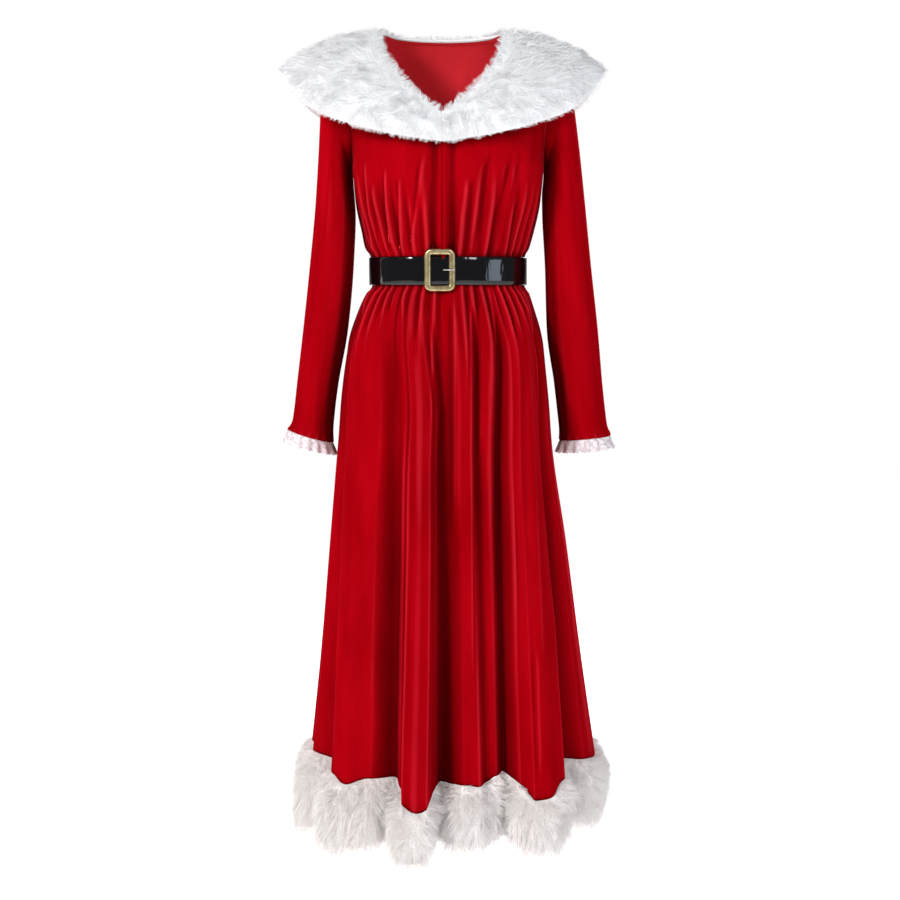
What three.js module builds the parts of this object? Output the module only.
// A long red velvet costume dress: V neck, wide white fur collar, long sleeves with lace frills,
// gathered waist under a black belt with a brass buckle, full skirt with a white fur hem.
// It keeps the hollow form that it has when worn. Millimetres, +Z up, +X to the wearer's left,
// -Y to the front. The origin is level with the neck points, in the middle of the body.
import * as THREE from "three";

// Sizes of the cloth
const VELVET = 2;
const LACE = 1.2;
const SEAM = 0.4; // clear gap between two pieces that are sewn together
const ROUNDNESS = 2.3; // exponent of the body's oval sections: 2 is an ellipse
const CHEST_ROUNDNESS = 3.4; // and at the underarm, where the body is fuller

// Heights
const WAIST = -378;
const ARMPIT = -213;
const HEM = -1164;
const FUR_FOOT = -1264;

// Neck: the neckline sits a little towards the wearer's right
const NECK_SHIFT = -9;
const NECK_HALF = 95;
const NECK_POINT_Z = -1;
const BACK_NECK_Z = -4;
const BACK_NECK_Y = 70;
const SHOULDER = { x: 176, z: -35 };
const UNDERARM = { x: 153, z: ARMPIT };
const ARMHOLE_HALF_DEPTH = 60;
const ARMHOLE_BOW = 8; // how far the armhole curves in towards the chest
const ARMHOLE_CUT = 0.12; // the share of a section's half width that the armhole cuts away
const CHEST = 134; // how far the front stands out at the underarm
const V_FOOT_SHARE = 0.42; // the share of the armhole's height at which the rows of cloth reach the foot of the V
const NECK_TURN = 27; // degrees from the centre back to the column of cloth that ends at the neck point

const BODICE_SECTIONS = [
  { z: WAIST, halfWidth: 121, front: 95, back: 86, gather: 0.8 },
  { z: -352, halfWidth: 122.5, front: 96, back: 87, gather: 1.4 },
  { z: -342, halfWidth: 126, front: 99, back: 92, gather: 2.8 },
  { z: -306, halfWidth: 135.5, front: 115, back: 99, gather: 3.2 },
  { z: -262, halfWidth: 147, front: 127, back: 106, gather: 1.6 },
  { z: ARMPIT, halfWidth: UNDERARM.x, front: CHEST, back: 110, gather: 0 },
  { z: -190, halfWidth: UNDERARM.x, front: CHEST, back: 110, gather: 0 },
];
const NECKLINE_FRONT = [
  { at: 0, x: 0, y: -118, z: -137 },
  { at: 0.3, x: 32, y: -103, z: -112 },
  { at: 0.55, x: 60, y: -83, z: -84 },
  { at: 0.75, x: 81, y: -56, z: -53 },
  { at: 0.9, x: 92, y: -26, z: -21 },
  { at: 1, x: NECK_HALF, y: 0, z: NECK_POINT_Z },
];
const CENTRE_BACK = [
  { at: 0, y: 110, z: ARMPIT },
  { at: 0.35, y: 107, z: -134 },
  { at: 0.65, y: 96, z: -73 },
  { at: 0.85, y: 79, z: -31 },
  { at: 1, y: BACK_NECK_Y, z: BACK_NECK_Z },
];

const SKIRT_SECTIONS = [
  { z: WAIST, halfWidth: 121, front: 95, back: 86, shift: 0, gather: 0.8 },
  { z: -403, halfWidth: 122, front: 96, back: 87, shift: 0, gather: 1.4 },
  { z: -413, halfWidth: 129, front: 99, back: 94, shift: -1, gather: 2.8 },
  { z: -450, halfWidth: 145.5, front: 114, back: 112, shift: -2, gather: 3 },
  { z: -498, halfWidth: 160.5, front: 127, back: 128, shift: -3, gather: 1 },
  { z: -587, halfWidth: 171.5, front: 147, back: 145, shift: -4, gather: 0 },
  { z: -652, halfWidth: 176, front: 158, back: 154, shift: -4, gather: 0 },
  { z: -813, halfWidth: 193.5, front: 178, back: 173, shift: 1, gather: 0 },
  { z: -1008, halfWidth: 213.5, front: 202, back: 195, shift: 6, gather: 0 },
  { z: HEM, halfWidth: 232, front: 220, back: 212, shift: 9.5, gather: 0 },
];
const HIP_SHARE = 0.2; // the share of the skirt's height at which the folds reach the hips

// The crests and valleys that run down the skirt, as angles round the body from the centre front,
// positive to the wearer's left: where each starts and ends, how far it stands out at the hips and
// at the hem, how much lower the edge hangs there, and the number of columns of cloth to the next
const FRONT_LINES = [
  { waist: -90, hem: -90, upper: -4, out: -6, drop: 0, columns: 3 },
  { waist: -82, hem: -72, upper: 0, out: 6, drop: -15, columns: 3 },
  { waist: -74, hem: -56, upper: -7, out: -16, drop: -10, columns: 2 },
  { waist: -67, hem: -48, upper: 8, out: 17, drop: -1, columns: 2 },
  { waist: -53, hem: -39, upper: 11, out: 25, drop: 10, columns: 3 },
  { waist: -36, hem: -30, upper: 5, out: 12, drop: -2, columns: 3 },
  { waist: -24.5, hem: -22, upper: -7, out: -20, drop: 0, columns: 2 },
  { waist: -15.5, hem: -16.8, upper: 2, out: 8, drop: 8, columns: 1 },
  { waist: -12.5, hem: -14.4, upper: 10, out: 42, drop: 28, columns: 1 },
  { waist: -7, hem: -10.2, upper: 13, out: 54, drop: 36, columns: 1 },
  { waist: -3, hem: -6.8, upper: 11, out: 46, drop: 34, columns: 1 },
  { waist: -1, hem: -5.6, upper: 1, out: 8, drop: 8, columns: 1 },
  { waist: 2.9, hem: -4.2, upper: -11, out: -27, drop: 6, columns: 3 },
  { waist: 9, hem: 3, upper: 7, out: 8, drop: 3, columns: 2 },
  { waist: 14, hem: 7, upper: 4, out: 12, drop: 5, columns: 1 },
  { waist: 17.5, hem: 10, upper: -8, out: -6, drop: 2, columns: 2 },
  { waist: 26, hem: 13.5, upper: 4, out: -6, drop: -7, columns: 2 },
  { waist: 35.5, hem: 18.6, upper: -10, out: -25, drop: -10, columns: 1 },
  { waist: 41, hem: 21.4, upper: 5, out: 16, drop: 4, columns: 2 },
  { waist: 47, hem: 24.6, upper: 11, out: 38, drop: 25, columns: 2 },
  { waist: 55, hem: 29.4, upper: 12, out: 42, drop: 23, columns: 3 },
  { waist: 69, hem: 39, upper: 8, out: 24, drop: 3, columns: 2 },
  { waist: 77, hem: 48, upper: -6, out: -24, drop: -17, columns: 3 },
  { waist: 81, hem: 58, upper: 0, out: 10, drop: -14, columns: 2 },
  { waist: 86, hem: 75, upper: -4, out: 2, drop: -2, columns: 2 },
  { waist: 90, hem: 90, upper: -4, out: 0, drop: 3, columns: 0 },
];
const BACK_LINES = [
  { waist: 90, hem: 90, upper: -4, out: 0, drop: 3, columns: 3 },
  { waist: 106, hem: 104, upper: -1, out: 2, drop: -4, columns: 3 },
  { waist: 117, hem: 116, upper: -5, out: -12, drop: -4, columns: 2 },
  { waist: 125, hem: 124, upper: 5, out: 36, drop: 18, columns: 3 },
  { waist: 137, hem: 136, upper: -8, out: -20, drop: -4, columns: 3 },
  { waist: 146, hem: 146, upper: 3, out: 20, drop: 11, columns: 2 },
  { waist: 153, hem: 153, upper: -5, out: -12, drop: -2, columns: 2 },
  { waist: 161, hem: 160, upper: 6, out: 42, drop: 23, columns: 3 },
  { waist: 170, hem: 171, upper: -9, out: -22, drop: -4, columns: 3 },
  { waist: 180, hem: 182, upper: 4, out: 28, drop: 16, columns: 3 },
  { waist: 191, hem: 192, upper: -6, out: -14, drop: -3, columns: 2 },
  { waist: 199, hem: 200, upper: 6, out: 46, drop: 25, columns: 3 },
  { waist: 211, hem: 212, upper: -8, out: -20, drop: -4, columns: 2 },
  { waist: 219, hem: 220, upper: 2, out: 14, drop: 9, columns: 2 },
  { waist: 227, hem: 227, upper: -4, out: -10, drop: -3, columns: 3 },
  { waist: 238, hem: 238, upper: 5, out: 36, drop: 18, columns: 3 },
  { waist: 250, hem: 250, upper: -6, out: -14, drop: -4, columns: 3 },
  { waist: 260, hem: 260, upper: 2, out: 10, drop: -3, columns: 3 },
  { waist: 270, hem: 270, upper: -4, out: -6, drop: 0, columns: 0 },
];

// Each sleeve from its armhole to its cuff: the outer and the inner line of the arm, and half its depth
const SLEEVE_LEFT = [
  { outerX: SHOULDER.x, outerZ: SHOULDER.z, innerX: UNDERARM.x, innerZ: ARMPIT, half: 60, y: 0 },
  { outerX: 195, outerZ: -66, innerX: 154, innerZ: -220, half: 58, y: 0 },
  { outerX: 204, outerZ: -122, innerX: 153.5, innerZ: -232, half: 56, y: 0 },
  { outerX: 212.5, outerZ: -186, innerX: 151.8, innerZ: -256, half: 54, y: 0 },
  { outerX: 222, outerZ: -272, innerX: 152.5, innerZ: -292, half: 52, y: 0 },
  { outerX: 232, outerZ: -370, innerX: 157, innerZ: -372, half: 50, y: -1 },
  { outerX: 243.5, outerZ: -474, innerX: 160, innerZ: -472, half: 47, y: -3 },
  { outerX: 251, outerZ: -560, innerX: 171.5, innerZ: -556, half: 45, y: -5 },
  { outerX: 256, outerZ: -606, innerX: 177, innerZ: -604, half: 44, y: -6 },
  { outerX: 259, outerZ: -628, innerX: 180, innerZ: -632, half: 44, y: -7 },
  { outerX: 265, outerZ: -643, innerX: 181, innerZ: -651, half: 45, y: -8 },
];
const SLEEVE_RIGHT = [
  { outerX: SHOULDER.x, outerZ: SHOULDER.z, innerX: UNDERARM.x, innerZ: ARMPIT, half: 60, y: 0 },
  { outerX: 196, outerZ: -66, innerX: 154, innerZ: -220, half: 58, y: 0 },
  { outerX: 205, outerZ: -122, innerX: 153.5, innerZ: -232, half: 56, y: 0 },
  { outerX: 208.5, outerZ: -186, innerX: 151.5, innerZ: -256, half: 54, y: 0 },
  { outerX: 214.5, outerZ: -272, innerX: 149.5, innerZ: -292, half: 52, y: 0 },
  { outerX: 224.5, outerZ: -370, innerX: 153, innerZ: -372, half: 50, y: -1 },
  { outerX: 236, outerZ: -474, innerX: 162, innerZ: -472, half: 47, y: -3 },
  { outerX: 246, outerZ: -560, innerX: 177, innerZ: -556, half: 45, y: -5 },
  { outerX: 250.5, outerZ: -600, innerX: 183.5, innerZ: -604, half: 44, y: -6 },
  { outerX: 254, outerZ: -620, innerX: 186.5, innerZ: -634, half: 44, y: -7 },
  { outerX: 262, outerZ: -633, innerX: 187, innerZ: -655, half: 45, y: -8 },
];
const LACE_DROP = 21;
const LACE_FLARE = 5;
const LACE_WAVES = 16;
const LACE_WAVE_HEIGHT = 3;

// The collar's outer edge from the centre front (0) to the centre back (1), on its underside
const COLLAR_EDGE = [
  { at: 0, x: 0, y: -139, z: -180, lift: 2 },
  { at: 0.12, x: 62, y: -138, z: -171, lift: 5 },
  { at: 0.25, x: 133, y: -124, z: -154, lift: 12 },
  { at: 0.38, x: 200, y: -96, z: -128, lift: 18 },
  { at: 0.46, x: 238, y: -62, z: -94, lift: 17 },
  { at: 0.55, x: 259, y: 0, z: -60, lift: 15 },
  { at: 0.64, x: 238, y: 62, z: -94, lift: 17 },
  { at: 0.74, x: 196, y: 98, z: -128, lift: 19 },
  { at: 0.87, x: 108, y: 126, z: -154, lift: 18 },
  { at: 1, x: 0, y: 136, z: -163, lift: 18 },
];
const COLLAR_NECK_SHARE = 0.55; // the share of the collar's length that lies in front of the neck point
const COLLAR_PILE = 15;
const COLLAR_RIM = 6; // thickness at its two edges
const COLLAR_STAND = 3; // how far it stands off the neckline
const COLLAR_ROWS = 7;
const COLLAR_COLUMNS = 26;

const HEM_PILE = 25;
const FUR_DIP = 0.25; // how far its foot hangs lower for each millimetre that a fold stands out
const FUR_TILT = 0.05; // its foot is lower on the wearer's right
const FUR_LEAN = 8; // and leans to that side
const FUR_FLARE = 0.12; // it goes on widening as the skirt does

const BELT_TOP = -355.5;
const BELT_FOOT = -400.5;
const BELT_LEATHER = 2.2;
const BELT_EASE = 2; // room for the gathers under the belt
const BUCKLE = { x: -13, z: -377, width: 38.5, height: 57.5, bar: 10.6, thick: 6.4, corner: 6 };
const PRONG = { radius: 1.3, from: 5, climb: 11, rest: 15.5, to: 24.5, rise: 0.5 };

const RED = { color: 0xb00a12, roughness: 0.75, metalness: 0 };
const FUR_WHITE = { color: 0xf3f1ee, roughness: 0.95, metalness: 0 };
const LACE_WHITE = { color: 0xece4e6, roughness: 0.85, metalness: 0 };
const PATENT_BLACK = { color: 0x0b0b0d, roughness: 0.12, metalness: 0 };
const BRASS = { color: 0xc9b26c, roughness: 0.4, metalness: 0.9 };
const STEEL = { color: 0xc8c8c4, roughness: 0.3, metalness: 0.9 };

const mix = (a, b, t) => a + (b - a) * t;
const radians = THREE.MathUtils.degToRad;
const smooth = (t) => THREE.MathUtils.smoothstep(t, 0, 1);

// The value of one column of a table at a place along its key column, through a smooth curve
function column(table, key, name, place) {
  const rising = table[table.length - 1][key] > table[0][key];
  let i = 0;
  while (i < table.length - 2 && (rising ? place > table[i + 1][key] : place < table[i + 1][key])) i++;
  const row = (k) => table[THREE.MathUtils.clamp(k, 0, table.length - 1)];
  const [a, b, c, d] = [row(i - 1), row(i), row(i + 1), row(i + 2)];
  const slope = (p, q) => (p === q ? 0 : (q[name] - p[name]) / (q[key] - p[key]));
  const span = c[key] - b[key];
  const t = THREE.MathUtils.clamp((place - b[key]) / span, 0, 1);
  const start = gentle(slope(a, b), slope(b, c), a === b) * span;
  const end = gentle(slope(b, c), slope(c, d), c === d) * span;
  const t2 = t * t;
  const t3 = t2 * t;
  return (2 * t3 - 3 * t2 + 1) * b[name] + (t3 - 2 * t2 + t) * start
    + (3 * t2 - 2 * t3) * c[name] + (t3 - t2) * end;
}

// The slope at a table row between two slopes: it never overshoots, and an end row takes its neighbour's
function gentle(before, after, atEnd) {
  if (atEnd) return before || after;
  return before * after <= 0 ? 0 : (2 * before * after) / (before + after);
}

// Signed power, for oval sections
const oval = (v) => Math.sign(v) * Math.abs(v) ** (2 / ROUNDNESS);

// How far a section stands out, from 1 in the middle to 0 at the side, at a share of its half width
const depthAt = (share, roundness) => (1 - Math.min(share, 1) ** roundness) ** (1 / roundness);

// Outward normals of a grid of points, grid[row][column], with rows going up and columns
// going round anticlockwise as seen from above
function normalsOf(grid, wraps) {
  const last = grid.length - 1;
  return grid.map((row, i) => row.map((_, j) => {
    const n = row.length;
    const left = wraps ? row[(j + n - 1) % n] : row[Math.max(j - 1, 0)];
    const right = wraps ? row[(j + 1) % n] : row[Math.min(j + 1, n - 1)];
    const up = grid[Math.min(i + 1, last)][j].clone().sub(grid[Math.max(i - 1, 0)][j]);
    return right.clone().sub(left).cross(up).normalize();
  }));
}

// The grid moved along its normals by distance(row). flat(row, column) names the axes that the move
// leaves alone, so that two pieces that meet at an edge keep their seam
function moved(grid, distance, wraps, flat = () => "") {
  const normals = normalsOf(grid, wraps);
  return grid.map((row, i) => row.map((p, j) => {
    const n = normals[i][j];
    for (const axis of flat(i, j)) n[axis] = 0;
    return p.clone().addScaledVector(n.normalize(), distance(i));
  }));
}

const inwards = (thickness) => () => -thickness;

// A closed solid between two grids of the same size
function solidBetween(outer, inner, wraps) {
  const rows = outer.length;
  const columns = outer[0].length;
  const points = [...outer.flat(), ...inner.flat()];
  const out = (i, j) => i * columns + (j % columns);
  const into = (i, j) => rows * columns + out(i, j);
  const faces = [];
  const quad = (a, b, c, d) => faces.push(a, b, c, a, c, d);
  const spans = wraps ? columns : columns - 1;
  for (let i = 0; i < rows - 1; i++) {
    for (let j = 0; j < spans; j++) {
      quad(out(i, j), out(i, j + 1), out(i + 1, j + 1), out(i + 1, j));
      quad(into(i, j), into(i + 1, j), into(i + 1, j + 1), into(i, j + 1));
    }
    if (!wraps) {
      quad(out(i, 0), out(i + 1, 0), into(i + 1, 0), into(i, 0));
      const end = columns - 1;
      quad(out(i, end), into(i, end), into(i + 1, end), out(i + 1, end));
    }
  }
  for (let j = 0; j < spans; j++) {
    quad(out(0, j), into(0, j), into(0, j + 1), out(0, j + 1));
    const top = rows - 1;
    quad(out(top, j), out(top, j + 1), into(top, j + 1), into(top, j));
  }
  return closedGeometry(points, faces);
}

// A geometry from points and faces, turned so that its faces point out
function closedGeometry(points, faces) {
  let volume = 0;
  for (let k = 0; k < faces.length; k += 3) {
    const [a, b, c] = [points[faces[k]], points[faces[k + 1]], points[faces[k + 2]]];
    volume += a.dot(b.clone().cross(c)) / 6;
  }
  if (volume < 0) faces.reverse();
  const geometry = new THREE.BufferGeometry();
  geometry.setAttribute("position", new THREE.Float32BufferAttribute(points.flatMap((p) => [p.x, p.y, p.z]), 3));
  geometry.setIndex(faces);
  geometry.computeVertexNormals();
  return geometry;
}

const mirrored = (grid) => grid.map((row) => row.map((p) => new THREE.Vector3(-p.x, p.y, p.z)));
const gridOf = (rows, columns, at) => Array.from({ length: rows + 1 },
  (_, i) => Array.from({ length: columns + 1 }, (_, j) => at(i / rows, j / columns)));

function piece(name, geometry, finish) {
  const mesh = new THREE.Mesh(geometry, new THREE.MeshStandardMaterial(finish));
  mesh.name = name;
  return mesh;
}

// The armhole on the wearer's left: turn -90 is the underarm, 0 the front, 90 the shoulder end, 180 the back
function armhole(turn) {
  const s = Math.sin(turn);
  const c = Math.cos(turn);
  return new THREE.Vector3(
    mix(UNDERARM.x, SHOULDER.x, (1 + s) / 2) - ARMHOLE_BOW * c * c,
    -ARMHOLE_HALF_DEPTH * c,
    mix(UNDERARM.z, SHOULDER.z, (1 + s) / 2),
  );
}

// Small gathers of the bodice: every other column of the cloth stands out
const BODICE_COLUMNS = 20; // from the centre front, or the centre back, to one side
const bodiceGather = (k, z) => column(BODICE_SECTIONS, "z", "gather", z) * (k % 2 === 0 ? 1 : -1);

// The exponent of the body's section: it is fuller at the underarm, where up is 1
const chestRoundness = (up) => mix(ROUNDNESS, CHEST_ROUNDNESS, smooth(Math.min(up, 2 - up) * 1.3 - 0.3));

// How late a row of cloth above the underarm turns down to the armhole
const rowBend = (rise, atShoulder) => mix(6, atShoulder, smooth(rise * 2));

// One half of the bodice front, as if on the wearer's left. up runs 0 to 1 from the waist to the underarm
// and 1 to 2 on to the shoulder seam; k is the column, from the centre front to the side
function bodiceFrontPoint(side, up, k) {
  const turn = k / BODICE_COLUMNS * Math.PI / 2;
  const share = oval(Math.sin(turn));
  const centreX = side * NECK_SHIFT + SEAM / 2;
  if (up <= 1) {
    const z = mix(WAIST + SEAM / 2, ARMPIT, up);
    const out = bodiceGather(k, z);
    const halfWidth = column(BODICE_SECTIONS, "z", "halfWidth", z);
    const front = column(BODICE_SECTIONS, "z", "front", z);
    return new THREE.Vector3(
      mix(centreX, halfWidth, share) + out * Math.sin(turn),
      -Math.max((front + out) * depthAt(share, chestRoundness(up)), SEAM / 2),
      z,
    );
  }
  const rise = up - 1;
  const inner = new THREE.Vector3(centreX, 0, 0);
  if (rise <= V_FOOT_SHARE) {
    const t = rise / V_FOOT_SHARE;
    inner.y = mix(-CHEST, NECKLINE_FRONT[0].y, t * t);
    inner.z = mix(ARMPIT, NECKLINE_FRONT[0].z, t);
  } else {
    const at = (rise - V_FOOT_SHARE) / (1 - V_FOOT_SHARE);
    inner.x += column(NECKLINE_FRONT, "at", "x", at);
    inner.y = column(NECKLINE_FRONT, "at", "y", at);
    inner.z = column(NECKLINE_FRONT, "at", "z", at);
  }
  const outer = armhole(radians(mix(-90, 90, rise)));
  const reach = 1 - ARMHOLE_CUT * smooth(rise * 1.5) ** 2;
  const left = depthAt(reach, chestRoundness(up));
  const bulge = (depthAt(reach * share, chestRoundness(up)) - left) / (1 - left);
  return new THREE.Vector3(
    mix(inner.x, outer.x, share),
    Math.min(mix(outer.y, inner.y, bulge), -SEAM / 2),
    mix(inner.z, outer.z, share ** rowBend(rise, 1.5)),
  );
}

// Rows of the bodice: shares of the height from waist to underarm, then from underarm to shoulder
const BODICE_ROWS = [0, 0.16, 0.225, 0.4, 0.6, 0.8, 1, 1.17, 1.34, 1.5, 1.66, 1.83, 2];
const UNDERARM_ROW = BODICE_ROWS.indexOf(1);

function bodiceFront(side) {
  const columns = Array.from({ length: BODICE_COLUMNS + 1 }, (_, k) => k);
  const grid = BODICE_ROWS.map((up) => columns.map((k) => bodiceFrontPoint(side, up, k)));
  const inner = moved(grid, inwards(VELVET), false, (i, j) => (i === 0 ? "z" : "")
    + (j === 0 ? "x" : "") + (j === BODICE_COLUMNS && i <= UNDERARM_ROW ? "y" : ""));
  inner.flat().forEach((p) => {
    p.y = Math.min(p.y, -SEAM / 2);
  });
  return side > 0 ? solidBetween(grid, inner, false) : solidBetween(mirrored(grid), mirrored(inner), false);
}

// The bodice back: its columns k run from the wearer's left side to the right
function bodiceBackPoint(up, k) {
  const turn = mix(Math.PI / 2, -Math.PI / 2, k / (2 * BODICE_COLUMNS));
  const side = Math.sign(turn) || 1;
  const share = Math.abs(oval(Math.sin(turn)));
  if (up <= 1) {
    const z = mix(WAIST + SEAM / 2, ARMPIT, up);
    const out = bodiceGather(k, z);
    const halfWidth = column(BODICE_SECTIONS, "z", "halfWidth", z);
    const back = column(BODICE_SECTIONS, "z", "back", z);
    return new THREE.Vector3(
      side * (halfWidth * share + out * Math.abs(Math.sin(turn))),
      Math.max((back + out) * depthAt(share, chestRoundness(up)), SEAM / 2),
      z,
    );
  }
  const rise = up - 1;
  const outer = armhole(radians(mix(-90, -270, rise)));
  const neckX = NECK_HALF + side * NECK_SHIFT;
  const neckShare = oval(Math.sin(radians(NECK_TURN)));
  const even = outer.x * share;
  const split = share < neckShare
    ? neckX * (share / neckShare)
    : mix(neckX, outer.x, (share - neckShare) / (1 - neckShare));
  const x = mix(even, split, smooth(rise));
  const centreY = column(CENTRE_BACK, "at", "y", rise);
  const centreZ = column(CENTRE_BACK, "at", "z", rise);
  const bulge = depthAt(x / mix(outer.x, neckX, smooth(rise * 1.3 - 0.3)), chestRoundness(up));
  const shoulderShare = Math.max((x - neckX) / (outer.x - neckX), 0);
  const seamZ = x < neckX
    ? mix(BACK_NECK_Z, NECK_POINT_Z, (x / neckX) ** 2)
    : mix(NECK_POINT_Z, SHOULDER.z, shoulderShare ** 1.2);
  return new THREE.Vector3(
    side * x,
    Math.max(mix(outer.y, centreY, bulge), SEAM / 2),
    mix(mix(centreZ, outer.z, share ** rowBend(rise, 2.2)), seamZ, rise ** 3),
  );
}

function bodiceBack() {
  const columns = Array.from({ length: 2 * BODICE_COLUMNS + 1 }, (_, k) => k);
  const grid = BODICE_ROWS.map((up) => columns.map((k) => bodiceBackPoint(up, k)));
  const inner = moved(grid, inwards(VELVET), false, (i, j) => (i === 0 ? "z" : "")
    + (j % (2 * BODICE_COLUMNS) === 0 && i <= UNDERARM_ROW ? "y" : ""));
  inner.flat().forEach((p) => {
    p.y = Math.max(p.y, SEAM / 2);
  });
  return solidBetween(grid, inner, false);
}

// Every column of a skirt panel: the two lines that it lies between and its place between them
function panelColumns(lines) {
  const total = lines.reduce((sum, line) => sum + line.columns, 0);
  const columns = [];
  lines.forEach((line, i) => {
    const next = lines[i + 1];
    for (let k = 0; k < line.columns; k++) columns.push({ from: line, to: next, t: k / line.columns });
    if (!next) columns.push({ from: line, to: line, t: 0 });
  });
  const [first, last] = [lines[0].waist, lines[lines.length - 1].waist];
  return columns.map((c, k) => ({ ...c, even: mix(first, last, k / total), gather: k % 2 === 0 ? -1 : 1 }));
}

// The angle of a column round the body and how far the cloth stands out there. At the waist the
// columns are evenly spaced, and lower down they follow the folds
function skirtFold({ from, to, t, even, gather }, z) {
  const down = THREE.MathUtils.clamp((WAIST - z) / (WAIST - HEM), 0, 1);
  const ease = 0.5 - 0.5 * Math.cos(Math.PI * t);
  const line = ({ waist, hem }) => mix(waist, hem, Math.sqrt(down));
  const angle = mix(even, mix(line(from), line(to), t), smooth(down / 0.3));
  const lower = THREE.MathUtils.clamp((down - HIP_SHARE) / (1 - HIP_SHARE), 0, 1);
  const stands = (row) => mix(row.upper, row.out, lower) * smooth(down / HIP_SHARE);
  const out = mix(stands(from), stands(to), ease);
  return { angle: radians(angle), out: out + gather * column(SKIRT_SECTIONS, "z", "gather", z) };
}

// A point of the skirt's outside at an angle from the centre front and a height
function skirtPoint(angle, z, out) {
  const at = (name) => column(SKIRT_SECTIONS, "z", name, z);
  const side = Math.sin(angle);
  const front = Math.cos(angle);
  const depth = front >= 0 ? at("front") : at("back");
  return new THREE.Vector3(
    at("shift") + at("halfWidth") * oval(side) + out * side,
    -depth * oval(front) - out * front,
    z,
  );
}

// The height of the skirt's edge
const hemHeight = ({ from, to, t }) => HEM - mix(from.drop, to.drop, 0.5 - 0.5 * Math.cos(Math.PI * t));

// Rows of the skirt: shares of the height from its edge up to the gathers, then heights above them
const GATHERS_FOOT = -450;
const SKIRT_ROWS = [0, 0.2, 0.42, 0.62, 0.78, 0.91, 1];
const GATHER_ROWS = [-413, -404, WAIST - SEAM / 2];

// Rows of the hem fur, from its foot up: share of its height, and how far its pile stands out there
const FUR_ROWS = [
  { share: 0, pile: 0.4 },
  { share: 0.25, pile: 1 },
  { share: 0.7, pile: 1 },
  { share: 0.93, pile: 0.5 },
  { share: 1, pile: 0 },
];

// The grid's two ends lie just clear of the side seams
function clearOfSideSeam(row) {
  const front = row[Math.floor(row.length / 2)].y < 0;
  row[0].y = front ? -SEAM / 2 : SEAM / 2;
  row[row.length - 1].y = row[0].y;
  return row;
}

// A row of the fur band; pile is how far its outside stands off the cloth, less in the valleys
function furRow(columns, share, pile) {
  return clearOfSideSeam(columns.map((c) => {
    const { angle, out } = skirtFold(c, HEM);
    const top = hemHeight(c);
    const lowest = FUR_FOOT - FUR_DIP * out + FUR_TILT * skirtPoint(angle, HEM, 0).x;
    const z = mix(lowest, top, share);
    const pressed = THREE.MathUtils.clamp(1 + out / 45, 0.5, 1);
    const p = skirtPoint(angle, HEM, out + FUR_FLARE * (top - z) + pile * pressed);
    return p.setX(p.x - FUR_LEAN * (1 - share)).setZ(z);
  }));
}

// The front or the back of the skirt and of its fur band. They share one inner face down to the foot,
// so they meet at the edge
function skirtPieces(lines) {
  const columns = panelColumns(lines);
  const heights = [...SKIRT_ROWS.map((t) => (c) => mix(hemHeight(c), GATHERS_FOOT, t)),
    ...GATHER_ROWS.map((z) => () => z)];
  const skirtRows = heights.map((height) => clearOfSideSeam(columns.map((c) => {
    const z = height(c);
    const { angle, out } = skirtFold(c, z);
    return skirtPoint(angle, z, out);
  })));
  const cloth = [...FUR_ROWS.slice(0, -1).map(({ share }) => furRow(columns, share, 0)), ...skirtRows];
  const lastColumn = columns.length - 1;
  const inner = moved(cloth, inwards(VELVET), false, (i, j) => (i === cloth.length - 1 ? "z" : "")
    + (j % lastColumn === 0 ? "y" : ""));
  const edge = FUR_ROWS.length - 1;
  const lowered = (rows) => rows.map((row) => row.map((p) => p.clone().setZ(p.z - SEAM)));
  const pile = FUR_ROWS.map((row) => furRow(columns, row.share, row.pile * HEM_PILE));
  pile[edge] = cloth[edge];
  return {
    skirt: solidBetween(skirtRows, inner.slice(edge), false),
    fur: solidBetween(lowered(pile), lowered(inner.slice(0, edge + 1)), false),
  };
}

// A sleeve: rings between the outer and the inner line of the arm, the last one on the armhole
function sleeveRing(table, place, turn) {
  const at = (name) => column(table.map((row, k) => ({ ...row, k })), "k", name, place);
  const s = Math.sin(turn);
  const c = Math.cos(turn);
  const point = new THREE.Vector3(
    mix(at("innerX"), at("outerX"), (1 + s) / 2),
    at("y") - at("half") * c,
    mix(at("innerZ"), at("outerZ"), (1 + s) / 2),
  );
  const onArmhole = Math.max(1 - place, 0);
  point.x += SEAM - ARMHOLE_BOW * c * c * onArmhole ** 0.5 + 0.6 * onArmhole;
  return point;
}

const SLEEVE_TURNS = 18;
const ringOf = (columns, at) => Array.from({ length: columns }, (_, j) => at(j / columns * 2 * Math.PI));
function sleeveGrid(table) {
  const places = [10, 9.5, 9, 8.2, 7, 6, 5, 4, 3, 2, 1.4, 0.7, 0];
  return places.map((place) => ringOf(SLEEVE_TURNS, (turn) => sleeveRing(table, place, turn)));
}

function sleeve(table, side) {
  const grid = sleeveGrid(table);
  const inner = moved(grid, inwards(VELVET), true, (i) => (i === 0 ? "z" : i === grid.length - 1 ? "x" : ""));
  return side > 0 ? solidBetween(grid, inner, true) : solidBetween(mirrored(grid), mirrored(inner), true);
}

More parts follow.
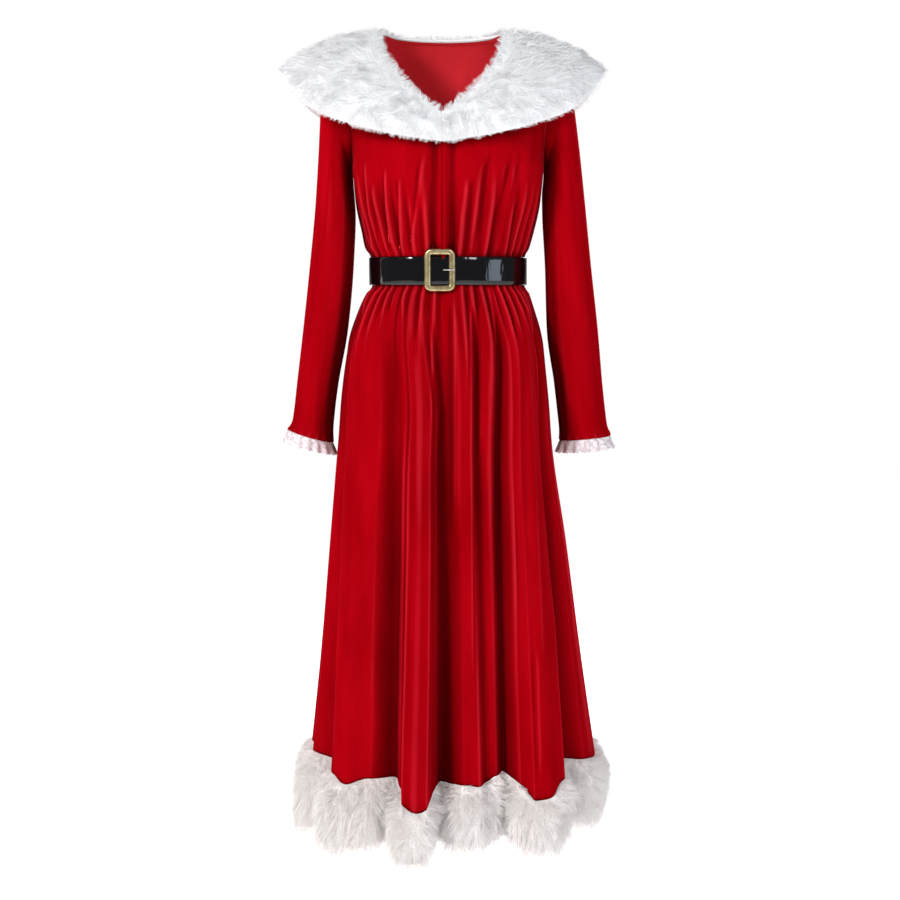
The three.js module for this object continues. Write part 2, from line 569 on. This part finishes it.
// The lace frill under a cuff: a thin ring whose lower edge waves
function laceFrill(table, side) {
  const columns = LACE_WAVES * 4;
  const rim = (turn) => sleeveRing(table, 10, turn);
  const middle = rim(0).add(rim(Math.PI)).multiplyScalar(0.5);
  const grid = [1, 0.5, 0].map((drop) => ringOf(columns, (turn) => {
    const p = rim(turn);
    const away = p.clone().sub(middle).setZ(0).normalize();
    const wave = LACE_WAVE_HEIGHT * drop * Math.cos(LACE_WAVES * turn + 0.7 * Math.sin(3 * turn));
    p.addScaledVector(away, LACE_FLARE * drop + wave - VELVET * 0.5 * (1 - drop));
    p.z -= SEAM + LACE_DROP * drop;
    return p;
  }));
  const inner = moved(grid, inwards(LACE), true, (i) => (i === 2 ? "z" : ""));
  return side > 0 ? solidBetween(grid, inner, true) : solidBetween(mirrored(grid), mirrored(inner), true);
}

// The edge of the neck, from the centre front (0) past the neck point to the centre back (1)
function neckEdge(at) {
  if (at <= COLLAR_NECK_SHARE) {
    const t = at / COLLAR_NECK_SHARE;
    const pick = (name) => column(NECKLINE_FRONT, "at", name, t);
    return new THREE.Vector3(pick("x"), pick("y"), pick("z"));
  }
  const t = (at - COLLAR_NECK_SHARE) / (1 - COLLAR_NECK_SHARE);
  const turn = (1 - t) * Math.PI / 2;
  return new THREE.Vector3(
    NECK_HALF * oval(Math.sin(turn)),
    BACK_NECK_Y * oval(Math.cos(turn)),
    mix(BACK_NECK_Z, NECK_POINT_Z, oval(Math.sin(turn)) ** 2),
  );
}

// One half of the collar, from its outer edge up to the neck: its underside lies over chest and shoulders
function collar(side) {
  const heart = new THREE.Vector3(0, 0, -170);
  const underside = gridOf(COLLAR_ROWS, COLLAR_COLUMNS, (t, across) => {
    const at = 1 - across;
    const edge = new THREE.Vector3(...["x", "y", "z"].map((name) => column(COLLAR_EDGE, "at", name, at)));
    const neck = neckEdge(at);
    const away = neck.clone().sub(heart).normalize();
    neck.addScaledVector(away, COLLAR_STAND);
    const p = edge.clone().lerp(neck, t);
    const out = p.clone().sub(heart).normalize();
    p.addScaledVector(out, column(COLLAR_EDGE, "at", "lift", at) * 4 * t * (1 - t));
    p.x += side * NECK_SHIFT + SEAM / 2;
    return p;
  }).map((row) => row.reverse());
  const pile = (i) => mix(COLLAR_RIM, COLLAR_PILE, Math.sqrt(Math.sin(Math.PI * mix(0.04, 0.96, i / COLLAR_ROWS))));
  const top = moved(underside, pile, false, (i, j) => (j % COLLAR_COLUMNS === 0 ? "x" : ""));
  return side > 0 ? solidBetween(top, underside, false) : solidBetween(mirrored(top), mirrored(underside), false);
}

// The belt lies round the waist, clear of the gathers
const BELTED = SKIRT_SECTIONS[1];
function beltRing(angle, out) {
  const { halfWidth, front, back, gather } = BELTED;
  const reach = gather + BELT_EASE + out;
  const depth = Math.cos(angle) >= 0 ? front : back;
  return new THREE.Vector3(
    halfWidth * oval(Math.sin(angle)) + reach * Math.sin(angle),
    -depth * oval(Math.cos(angle)) - reach * Math.cos(angle),
    0,
  );
}

function belt() {
  const ring = (z, out) => ringOf(60, (angle) => beltRing(angle, out).setZ(z));
  const heights = [BELT_FOOT, BELT_TOP];
  return solidBetween(heights.map((z) => ring(z, BELT_LEATHER)), heights.map((z) => ring(z, 0)), true);
}

// The outside of the belt at a place along the front, and how far out of it
function onBelt(x, out) {
  let angle = x / BELTED.halfWidth;
  for (let k = 0; k < 6; k++) angle += (x - beltRing(angle, BELT_LEATHER).x) / BELTED.halfWidth;
  const p = beltRing(angle, BELT_LEATHER + out);
  p.x = x;
  return p;
}

// The buckle's frame: a bar that is round in front and flat behind, bent to a rectangle with round
// corners, and curved with the belt
const BAR_SECTION = [[-1, 0], [-0.85, 0.6], [-0.35, 1], [0.35, 1], [0.85, 0.6], [1, 0], [0.35, 0], [-0.35, 0]];
function buckleFrame() {
  const halfX = BUCKLE.width / 2;
  const halfZ = BUCKLE.height / 2;
  const corners = [
    { sx: 1, sz: -1, start: -90 },
    { sx: 1, sz: 1, start: 0 },
    { sx: -1, sz: 1, start: 90 },
    { sx: -1, sz: -1, start: 180 },
  ];
  const path = corners.flatMap(({ sx, sz, start }) => [0, 30, 60, 90].map((step) => {
    const outX = Math.cos(radians(start + step));
    const outZ = Math.sin(radians(start + step));
    const x = sx * (halfX - BUCKLE.corner) + BUCKLE.corner * outX;
    const z = sz * (halfZ - BUCKLE.corner) + BUCKLE.corner * outZ;
    return { x, z, outX, outZ };
  }));
  const rings = BAR_SECTION.map(([across, lift]) => path.map(({ x, z, outX, outZ }) => {
    const reach = across * BUCKLE.bar / 2;
    return onBelt(BUCKLE.x + x + outX * reach, SEAM + lift * BUCKLE.thick)
      .setZ(BUCKLE.z + z + outZ * reach);
  }));
  const n = path.length;
  const faces = [];
  rings.forEach((_, k) => path.forEach((__, j) => {
    const [ring, nextRing] = [k * n, ((k + 1) % rings.length) * n];
    const next = (j + 1) % n;
    faces.push(ring + j, ring + next, nextRing + next, ring + j, nextRing + next, nextRing + j);
  }));
  return closedGeometry(rings.flat(), faces);
}

// The buckle's prong: a short pin that lies from the belt's hole over the frame's bar
function prong() {
  const sides = 8;
  const reach = SEAM + PRONG.radius * 0.5;
  const over = SEAM * 2 + BUCKLE.thick + PRONG.radius;
  const path = [
    onBelt(BUCKLE.x + PRONG.from, reach + PRONG.radius * 0.6),
    onBelt(BUCKLE.x + PRONG.climb, over * 0.72),
    onBelt(BUCKLE.x + PRONG.rest, over),
    onBelt(BUCKLE.x + PRONG.to, over),
  ];
  const rings = path.map((p) => ringOf(sides, (turn) => new THREE.Vector3(
    p.x,
    p.y + PRONG.radius * Math.cos(turn),
    BUCKLE.z + PRONG.rise + PRONG.radius * Math.sin(turn),
  )));
  const points = [...rings.flat(), path[0].clone().setZ(BUCKLE.z + PRONG.rise),
    path[path.length - 1].clone().setZ(BUCKLE.z + PRONG.rise)];
  const faces = [];
  for (let j = 0; j < sides; j++) {
    const next = (j + 1) % sides;
    for (let k = 0; k < rings.length - 1; k++) {
      const [a, b] = [k * sides + j, k * sides + next];
      faces.push(a, b, b + sides, a, b + sides, a + sides);
    }
    const last = (rings.length - 1) * sides;
    faces.push(points.length - 2, next, j, points.length - 1, last + j, last + next);
  }
  return closedGeometry(points, faces);
}

const front = skirtPieces(FRONT_LINES);
const back = skirtPieces(BACK_LINES);
const group = new THREE.Group();
group.add(
  piece("bodice_front_left", bodiceFront(1), RED),
  piece("bodice_front_right", bodiceFront(-1), RED),
  piece("bodice_back", bodiceBack(), RED),
  piece("skirt_front", front.skirt, RED),
  piece("skirt_back", back.skirt, RED),
  piece("sleeve_left", sleeve(SLEEVE_LEFT, 1), RED),
  piece("sleeve_right", sleeve(SLEEVE_RIGHT, -1), RED),
  piece("lace_frill_left", laceFrill(SLEEVE_LEFT, 1), LACE_WHITE),
  piece("lace_frill_right", laceFrill(SLEEVE_RIGHT, -1), LACE_WHITE),
  piece("collar_left", collar(1), FUR_WHITE),
  piece("collar_right", collar(-1), FUR_WHITE),
  piece("hem_fur_front", front.fur, FUR_WHITE),
  piece("hem_fur_back", back.fur, FUR_WHITE),
  piece("belt", belt(), PATENT_BLACK),
  piece("buckle_frame", buckleFrame(), BRASS),
  piece("buckle_prong", prong(), STEEL),
);

export default group;
